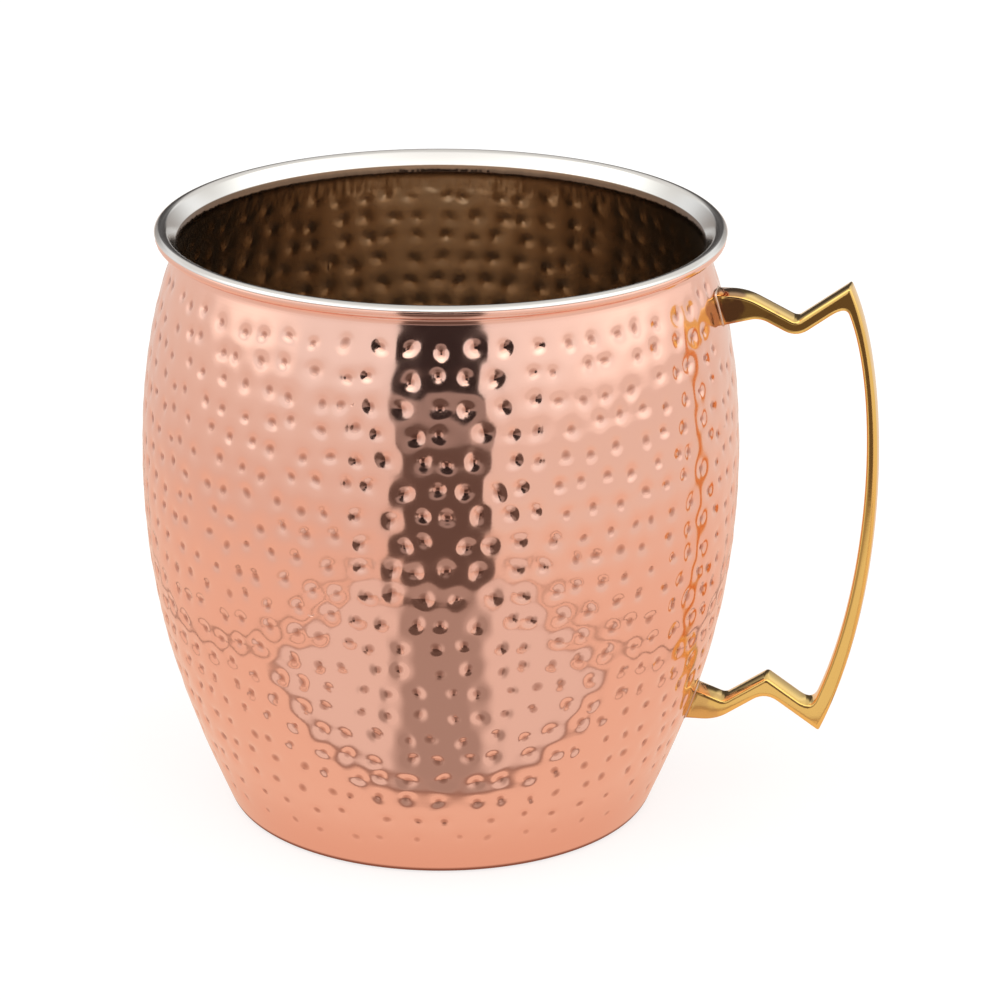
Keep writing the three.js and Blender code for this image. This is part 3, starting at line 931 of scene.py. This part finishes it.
def make_camera():
    data = bpy.data.cameras.new("camera")
    data.lens = LENS
    data.sensor_width = SENSOR
    data.clip_start = 0.05
    camera = bpy.data.objects.new("camera", data)
    a = math.radians(VIEW_AZIMUTH)
    camera.location = (VIEW_AWAY * math.sin(a), -VIEW_AWAY * math.cos(a), VIEW_HEIGHT)
    level = Euler((math.radians(90 - VIEW_PITCH), 0, a)).to_matrix()
    camera.rotation_euler = (level @ Matrix.Rotation(math.radians(-VIEW_YAW), 3, "Y")).to_euler()
    bpy.context.scene.collection.objects.link(camera)
    bpy.context.scene.camera = camera


# ---- studio ----
# light from all round: degrees above the horizon, color
SKY = ((-90, (0.88, 0.70, 0.60)), (-3, (0.83, 0.73, 0.67)), (4, (0.85, 0.80, 0.77)),
       (12, (0.93, 0.94, 0.94)), (22, (0.96, 0.98, 0.99)), (34, (1.45, 1.48, 1.44)),
       (48, (2.1, 2.06, 1.98)), (64, (1.3, 1.28, 1.24)), (90, (0.88, 0.87, 0.85)))
# patches of the wall: degrees to either side from, to and softness; degrees up the same; share, color
SIDE_LAMPS = ((70.0, 108.0, 18.0), (6.0, 17.0, 7.0), 0.42, (1.9, 1.85, 1.75))
BACK_PATCHES = (
    ((148.0, 190.0, 14.0), (-20.0, 19.0, 6.0), 0.7, (0.16, 0.13, 0.11)),
    ((165.0, 190.0, 3.0), (-20.0, 58.0, 3.0), 0.9, (0.04, 0.035, 0.035)),
    ((120.0, 190.0, 15.0), (24.0, 100.0, 5.0), 0.9, (0.80, 0.78, 0.75)),
)
RIGHT_GLOW = (1.5, 1.5, 1.46)
RIGHT_SHARE = 0.25

# the dark card: height in metres, color
CARD = ((0.0, (0.14, 0.10, 0.085)), (0.07, (0.12, 0.085, 0.07)), (0.10, (0.30, 0.25, 0.23)),
        (0.25, (0.38, 0.33, 0.31)), (0.268, (0.03, 0.022, 0.022)), (1.0, (0.02, 0.016, 0.016)))
CARD_AWAY, CARD_HALF_W = 980.0, 288.0
CARD_LOW, CARD_HIGH = 0.5, 690.0

# the floor and the board that polished metal sees on it, glowing with painted light and shade:
# copper-coloured light near the mug, the mug's shade and shadow round its foot, the far floor lighter to the
# right
FLOOR_HALF, FLOOR_DROP = 6000, 0.05
# the board in painted copper-coloured light, with painted shade along its edge
BOARD_COPPER_LIGHT_TONE, BOARD_EDGE_SHADE = (0.90, 0.67, 0.54), (0.22, 0.13, 0.10)
# a paler patch on the board in front of the mug, with a dark outline
PALE_PATCH_TONE, PALE_PATCH_EDGE = (0.84, 0.74, 0.68), (0.30, 0.18, 0.14)
# painted copper-coloured light near the mug, and painted contact shade where the mug meets the floor
NEAR_COPPER_LIGHT_TONE, MEETING_SHADE_TONE = (0.90, 0.66, 0.53), (0.83, 0.55, 0.42)
# the far floor, painted lighter to the right, where the studio's light is brighter
WEST_TONE, EAST_TONE, DISTANT_TONE = (0.80, 0.66, 0.59), (0.87, 0.78, 0.71), (0.84, 0.76, 0.71)
# a dark wedge in front of the mug, the mug's painted shade on the floor, and its painted shadow under the
# base
WEDGE_TONE, SHADE_TONE, UNDER_SHADOW_TONE = (0.13, 0.09, 0.075), (0.30, 0.23, 0.20), (0.26, 0.12, 0.08)


def color_ramp(t, factor, stops):
    """A color ramp through (position, color) stops."""
    ramp = t.node("ShaderNodeValToRGB", {"Fac": factor})
    elements = ramp.color_ramp.elements
    while len(elements) < len(stops):
        elements.new(0.5)
    for element, (position, color) in zip(elements, stops):
        element.position = position
        element.color = (*color, 1)
    return ramp.outputs[0]


def camera_wise(t, vector):
    """A direction or place turned so that -Y points at the camera."""
    return t.node("ShaderNodeMapping", {"Vector": vector, "Rotation": (0, 0, math.radians(-VIEW_AZIMUTH))})


def wall_patch(t, light, side, rise, patch):
    """Paints one soft-edged patch over the light from all round."""
    sides, rises, share, color = patch
    where = t.math("MULTIPLY", band(t, side, *sides), band(t, rise, *rises))
    return blend_color(t, t.math("MULTIPLY", where, share), light, color)


def make_world():
    """Soft light from all round, brighter in two wide banks to the left and right of the camera."""
    world = bpy.data.worlds.new("studio")
    bpy.context.scene.world = world
    world.use_nodes = True
    world.node_tree.nodes.clear()
    t = Tree(world.node_tree)
    turned = camera_wise(t, t.node("ShaderNodeTexCoord").outputs["Generated"])
    x, y, z = t.node("ShaderNodeSeparateXYZ", {"Vector": turned.outputs[0]}).outputs
    rise = t.math("MULTIPLY", t.math("ARCSINE", z), 180 / math.pi)
    around = t.math("MULTIPLY", t.math("ARCTAN2", x, t.math("MULTIPLY", y, -1.0)), 180 / math.pi)
    side = t.math("ABSOLUTE", around)
    stops = [((degrees + 90) / 180, color) for degrees, color in SKY]
    light = color_ramp(t, ramped(t, rise, -90.0, 90.0), stops)
    light = wall_patch(t, light, side, rise, SIDE_LAMPS)
    to_right = t.math("MULTIPLY", ramped(t, around, 10.0, 60.0), RIGHT_SHARE)
    light = blend_color(t, to_right, light, RIGHT_GLOW)
    for patch in BACK_PATCHES:
        light = wall_patch(t, light, side, rise, patch)
    seen = t.node("ShaderNodeLightPath").outputs["Is Camera Ray"]
    light = blend_color(t, seen, light, (1.0, 1.0, 1.0))
    shade = t.node("ShaderNodeBackground", {"Color": light, "Strength": 1.0})
    t.node("ShaderNodeOutputWorld", {"Surface": shade.outputs[0]})


def plate(t, x, y, sides, depths, soft):
    """1 on a rectangle of the floor."""
    return t.math("MULTIPLY", band(t, x, *sides, soft), band(t, y, *depths, soft))


def floor_color(t):
    """The glowing colors that polished metal sees on the floor: the board in painted copper-coloured light, a
    paler patch on it, and painted shade and shadow round the mug's foot.
    """
    place = t.node("ShaderNodeTexCoord").outputs["Object"]
    x, y, _ = t.node("ShaderNodeSeparateXYZ", {"Vector": camera_wise(t, place).outputs[0]}).outputs
    away = t.vector("LENGTH", place, output="Value")
    # the far floor, painted lighter to the right
    far = blend_color(t, ramped(t, x, -0.15, 0.15), WEST_TONE, EAST_TONE)
    distant = ramped(t, t.math("DIVIDE", 1.0, t.math("MAXIMUM", away, 0.01)), 2.4, 0.2)
    far = blend_color(t, distant, far, DISTANT_TONE)
    # painted copper-coloured light on the floor near the mug
    ground = blend_color(t, ramped(t, away, 0.12, 0.55, soft=True), NEAR_COPPER_LIGHT_TONE, far)
    before = t.math("MAXIMUM", t.math("MULTIPLY", y, -1.0), 0.001)
    lean = t.math("DIVIDE", t.math("ABSOLUTE", x), before)
    wedge = t.math("MULTIPLY", band(t, lean, -1.0, 0.27, 0.012), band(t, y, -9.0, -0.2, 0.001))
    ground = blend_color(t, wedge, ground, WEDGE_TONE)
    board = plate(t, x, y, (-0.155, 0.147), (-0.272, 0.30), 0.0008)
    # painted shade along the board's edge
    board_edge_shade = plate(t, x, y, (-0.160, 0.152), (-0.277, 0.30), 0.0012)
    # a paler patch on the board in front of the mug, with a dark outline
    pale_patch = plate(t, x, y, (-0.128, 0.120), (-0.272, -0.088), 0.003)
    pale_patch_edge = plate(t, x, y, (-0.133, 0.125), (-0.28, -0.083), 0.003)
    shade = t.math("MULTIPLY", band(t, lean, -1.0, 0.24, 0.10), pale_patch)
    ground = blend_color(t, board_edge_shade, ground, BOARD_EDGE_SHADE)
    ground = blend_color(t, board, ground, BOARD_COPPER_LIGHT_TONE)
    ground = blend_color(t, t.math("MULTIPLY", pale_patch_edge, board), ground, PALE_PATCH_EDGE)
    ground = blend_color(t, t.math("MULTIPLY", pale_patch, board), ground, PALE_PATCH_TONE)
    ground = blend_color(t, t.math("MULTIPLY", shade, 0.76), ground, SHADE_TONE)
    # painted contact shade round the mug's foot, then its painted shadow under the base
    ground = blend_color(t, ramped(t, away, 0.0595, 0.080, soft=True), MEETING_SHADE_TONE, ground)
    return blend_color(t, band(t, away, -1.0, 0.0600, 0.0006), ground, UNDER_SHADOW_TONE)


def make_floor():
    """A plain pale floor. Polished metal sees on it a glowing square board that the mug stands on, with
    painted light and shade on it.
    """
    h, z = FLOOR_HALF, -FLOOR_DROP
    obj = mesh_object("floor", [(-h, -h, z), (h, -h, z), (h, h, z), (-h, h, z)], [(0, 1, 2, 3)])
    made, t = blank_material("Pale floor")
    glow = t.node("ShaderNodeEmission", {"Color": floor_color(t), "Strength": 1.0})
    white = t.node("ShaderNodeEmission", {"Color": (1, 1, 1, 1), "Strength": 1.08})
    matt = t.node("ShaderNodeBsdfDiffuse", {"Color": (0.94, 0.94, 0.94, 1)})
    pale = t.node("ShaderNodeMixShader", {"Fac": 0.35})
    t.put(pale.inputs[1], white.outputs[0])
    t.put(pale.inputs[2], matt.outputs[0])
    seen = t.node("ShaderNodeLightPath").outputs["Is Glossy Ray"]
    both = t.node("ShaderNodeMixShader", {"Fac": seen})
    t.put(both.inputs[1], pale.outputs[0])
    t.put(both.inputs[2], glow.outputs[0])
    t.node("ShaderNodeOutputMaterial", {"Surface": both.outputs[0]})
    obj.data.materials.append(made)


def make_black_card():
    """The dark gap between the two banks of light, where the camera stands."""
    a = math.radians(VIEW_AZIMUTH)
    centre = np.array([CARD_AWAY * math.sin(a), -CARD_AWAY * math.cos(a)])
    across = np.array([math.cos(a), math.sin(a)])
    left, right = centre - across * CARD_HALF_W, centre + across * CARD_HALF_W
    corners = [(*left, CARD_LOW), (*right, CARD_LOW), (*right, CARD_HIGH), (*left, CARD_HIGH)]
    obj = mesh_object("black_card", corners, [(0, 1, 2, 3)])
    made, t = blank_material("Black card")
    _, z = own_place(t)
    glow = t.node("ShaderNodeEmission", {"Color": color_ramp(t, z, CARD), "Strength": 1.0})
    t.node("ShaderNodeOutputMaterial", {"Surface": glow.outputs[0]})
    obj.data.materials.append(made)
    obj.visible_camera = False
    obj.visible_diffuse = False
    obj.visible_shadow = False
    obj.visible_transmission = False


# ---- the mug ----
polish = polish_group()
tones = tone_group()
relief = relief_group()
copper = copper_finish(polish, tones, relief)
steel = lining_finish(polish, tones, relief)
brass = brass_finish(polish, tones)
solder = solder_finish(polish, tones)

tree = hammer_tree()
outside_strikes = strike_points(0.0)
inside_strikes = strike_points(SHELL_T + SKIN_FIT + LINER_T)

shell = turned_skin("hammered_copper_barrel", copper_rings())
hammered(shell, tree, outside_strikes, SHELL_PUSH, 1.0, SHELL_WAVE, copper)
lining = turned_skin("steel_lining", lining_rings())
hammered(lining, tree, inside_strikes, LINING_PUSH, LINING_SPREAD, LINING_WAVE, steel)
handle = strap_handle()
outward(handle)
handle.data.materials.append(brass)
for strikes in (outside_strikes, inside_strikes):
    gone = strikes.data
    bpy.data.objects.remove(strikes)
    bpy.data.meshes.remove(gone)

for piece, node, slot in ((shell, "copper_shell", "copper"), (lining, "steel_liner", "lining"),
                          (handle, "handle", "brass")):
    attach(piece, "root")
    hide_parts(node)
for node, low in zip(("upper_solder", "lower_solder"), FOOT_LOWS):
    bead = solder_bead(node + "_bead", low)
    bead.data.materials.append(solder)
    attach(bead, "root")
    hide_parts(node)

make_camera()
make_world()
make_floor()
make_black_card()
scene = bpy.context.scene
scene.view_settings.view_transform = "Standard"
scene.view_settings.look = "None"
